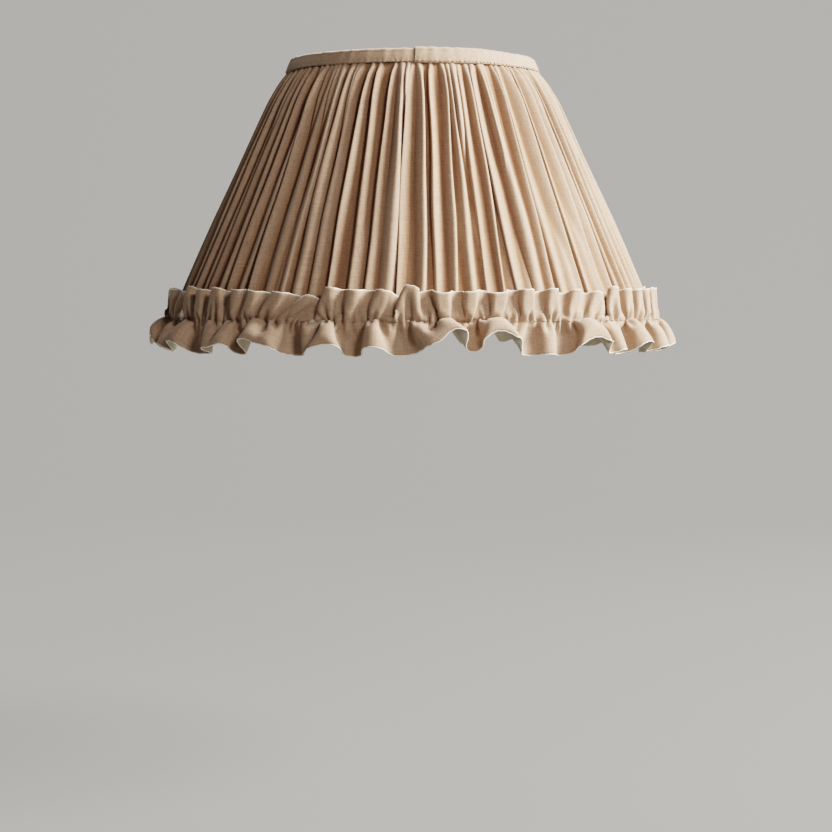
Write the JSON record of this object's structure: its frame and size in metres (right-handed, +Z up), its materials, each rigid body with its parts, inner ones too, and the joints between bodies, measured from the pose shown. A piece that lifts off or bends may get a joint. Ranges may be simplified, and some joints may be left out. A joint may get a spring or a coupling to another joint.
{
  "type": "lamp shade",
  "caption": "Gathered fabric empire lamp shade on a wire frame, with a bound top edge, a frilled hem and a tilting ring fitter inside.",
  "frame": {"origin": "centre of the fitter plate's bore, at half the plate's thickness, on the shade's axis", "axes": "+Z up the shade's axis, from the frilled hem towards the bound top; +X along the fitter's tilt axis, to the right seen from the front; the front is -Y"},
  "size_m": [0.324, 0.324, 0.1782],
  "materials": {
    "shade_cloth": "plain-woven cloth with a slight sheen, taupe beige",
    "facing_cloth": "matt cream cotton",
    "lining_cloth": "smooth cream lining, slight sheen",
    "ring_tape": "matt unbleached cotton tape",
    "sewing_thread": "spun polyester thread, beige",
    "edge_thread": "overlocked thread edge, cream",
    "frame_steel": "white powder coat, satin",
    "rivet_steel": "zinc-plated steel, satin"
  },
  "bodies": {
    "shade": {"top_ring": "frame_steel", "bottom_ring": "frame_steel", "top_ring_tape": "ring_tape", "bottom_ring_tape": "ring_tape", "strut_1": "frame_steel", "strut_2": "frame_steel", "strut_3": "frame_steel", "strut_4": "frame_steel", "strut_5": "frame_steel", "strut_6": "frame_steel", "strut_7": "frame_steel", "strut_8": "frame_steel", "pivot_bracket_left": "frame_steel", "pivot_bracket_right": "frame_steel", "pivot_rivet_left": "rivet_steel", "pivot_rivet_right": "rivet_steel", "friction_washer_left": "rivet_steel", "friction_washer_right": "rivet_steel", "lining_front": "lining_cloth", "lining_back": "lining_cloth", "cover_front": "shade_cloth", "cover_back": "shade_cloth", "top_binding": "shade_cloth", "binding_stitches": "sewing_thread", "frill": "shade_cloth", "frill_facing": "facing_cloth", "gathering_stitches": "sewing_thread", "heading_edge_thread": "edge_thread", "frill_edge_thread": "edge_thread"},
    "gimbal": {"fitter_plate": "frame_steel", "yoke_arm_left": "frame_steel", "yoke_arm_right": "frame_steel"}
  },
  "joints": [
    {"name": "gimbal_tilt", "type": "hinge", "parent": "shade", "child": "gimbal", "pos_m": [0, 0, -0.009], "axis": [1, 0, 0], "range_deg": [-18, 18]}
  ]
}
